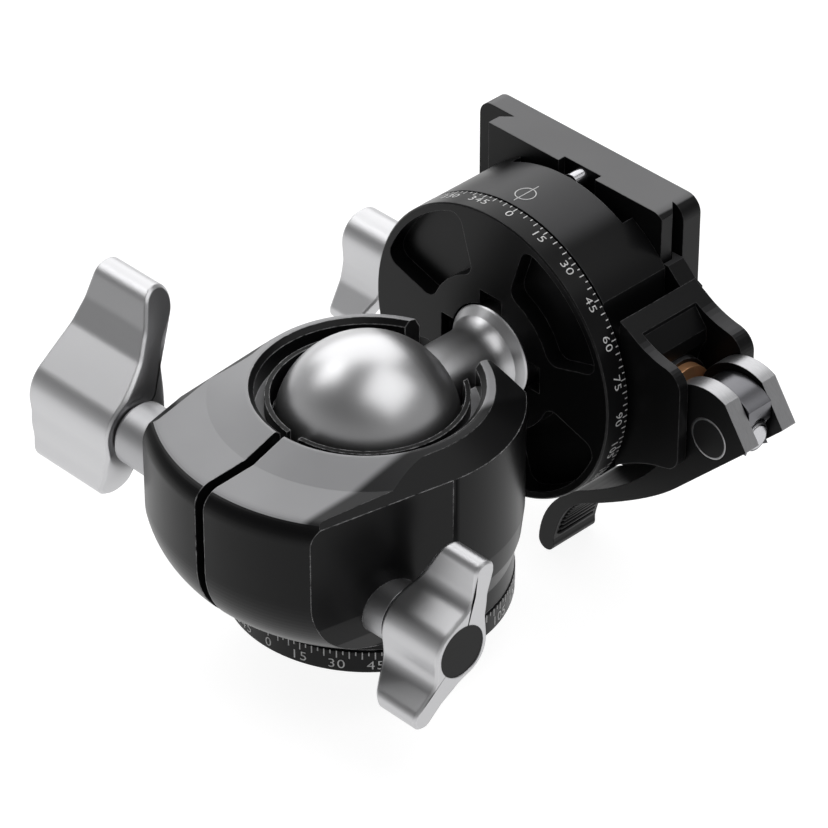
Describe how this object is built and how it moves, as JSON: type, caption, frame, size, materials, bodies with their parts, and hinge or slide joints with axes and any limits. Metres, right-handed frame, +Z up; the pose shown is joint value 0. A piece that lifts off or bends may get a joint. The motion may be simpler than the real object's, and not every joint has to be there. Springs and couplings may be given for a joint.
{
  "type": "ball head",
  "caption": "Low-profile camera ball head with a drop notch, a panning base and a panning lever-clamp quick release with its plate.",
  "frame": {"origin": "centre of the base's underside, at the mouth of the tripod thread", "axes": "+Z up along the base's axis, +Y along the stem towards the plate as pictured, +X towards the lever"},
  "size_m": [0.0958, 0.0977, 0.0674],
  "materials": {
    "black_anodised": "satin black anodised",
    "silver_anodised": "satin natural anodised",
    "steel": "turned",
    "brass": "machined",
    "copper": "machined copper-coloured bronze",
    "dark_plastic": "matte",
    "bearing_plastic": "self-lubricating",
    "rubber": "ribbed"
  },
  "bodies": {
    "base": {"base_plate": "black_anodised", "base_scale_ring": "black_anodised", "tripod_insert": "steel", "pan_washer": "bearing_plastic", "pan_retainer": "steel", "retainer_screws": "steel"},
    "head": {"housing": "black_anodised", "ball_seat": "bearing_plastic", "ball_liner": "dark_plastic", "main_thread_insert": "brass", "main_collar": "silver_anodised", "pan_collar": "silver_anodised", "pan_shoe": "brass"},
    "main_lock": {"main_knob": "silver_anodised", "main_knob_cap": "dark_plastic", "main_lock_screw": "steel"},
    "base_lock": {"pan_knob": "silver_anodised", "pan_knob_cap": "dark_plastic", "pan_lock_screw": "steel"},
    "ball": {"ball": "silver_anodised"},
    "stem": {"stem": "silver_anodised", "scale_disc": "black_anodised", "clamp_pivot": "silver_anodised", "pivot_pins": "steel"},
    "clamp": {"clamp_body": "black_anodised", "clamp_bearing": "brass", "clamp_collar": "silver_anodised", "clamp_shoe": "brass", "tension_rod": "steel", "lever_barrel": "steel", "guide_pins": "steel", "jaw_spring": "steel"},
    "clamp_lock": {"clamp_knob": "silver_anodised", "clamp_knob_cap": "dark_plastic", "clamp_lock_screw": "steel"},
    "jaw": {"moving_jaw": "black_anodised", "cam_washer": "copper"},
    "lever": {"lever": "black_anodised"},
    "plate": {"plate": "black_anodised", "plate_stop_screws": "steel", "plate_pad": "rubber"},
    "camera_screw": {"camera_screw": "steel"}
  },
  "joints": [
    {"name": "base_pan", "type": "hinge", "parent": "base", "child": "head", "pos_m": [0, 0, 0.01], "axis": [0, 0, 1], "continuous": true},
    {"name": "ball_tilt", "type": "hinge", "parent": "head", "child": "ball", "pos_m": [0, 0, 0.032], "axis": [1, 0, 0], "range_deg": [-2, 120]},
    {"name": "stem_spin", "type": "hinge", "parent": "ball", "child": "stem", "pos_m": [0, 0.02, 0.032], "axis": [0, 1, 0], "continuous": true},
    {"name": "clamp_pan", "type": "hinge", "parent": "stem", "child": "clamp", "pos_m": [0, 0.034, 0.032], "axis": [0, 1, 0], "continuous": true},
    {"name": "main_lock_turn", "type": "hinge", "parent": "head", "child": "main_lock", "pos_m": [-0.035, -0.0245, 0.0285], "axis": [-1, 0, 0], "range_deg": [0, 180]},
    {"name": "base_lock_turn", "type": "hinge", "parent": "head", "child": "base_lock", "pos_m": [0.03, -0.0165, 0.0164], "axis": [1, 0, 0], "range_deg": [0, 180]},
    {"name": "clamp_lock_turn", "type": "hinge", "parent": "clamp", "child": "clamp_lock", "pos_m": [-0.035, 0.037, 0.032], "axis": [-1, 0, 0], "range_deg": [0, 180]},
    {"name": "lever_swing", "type": "hinge", "parent": "clamp", "child": "lever", "pos_m": [0.0409, 0.0412, 0.032], "axis": [0, -1, 0], "range_deg": [0, 120]},
    {"name": "jaw_slide", "type": "slide", "parent": "clamp", "child": "jaw", "axis": [1, 0, 0], "range_m": [0, 0.0012]},
    {"name": "plate_slide", "type": "slide", "parent": "clamp", "child": "plate", "axis": [0, 0, 1], "range_m": [-0.012, 0.012]},
    {"name": "camera_screw_turn", "type": "hinge", "parent": "plate", "child": "camera_screw", "pos_m": [0, 0.055, 0.032], "axis": [0, 1, 0], "continuous": true}
  ],
  "couplings": [
    {"joint": "jaw_slide", "follows": "lever_swing", "m_per_rad": 0.000572}
  ]
}
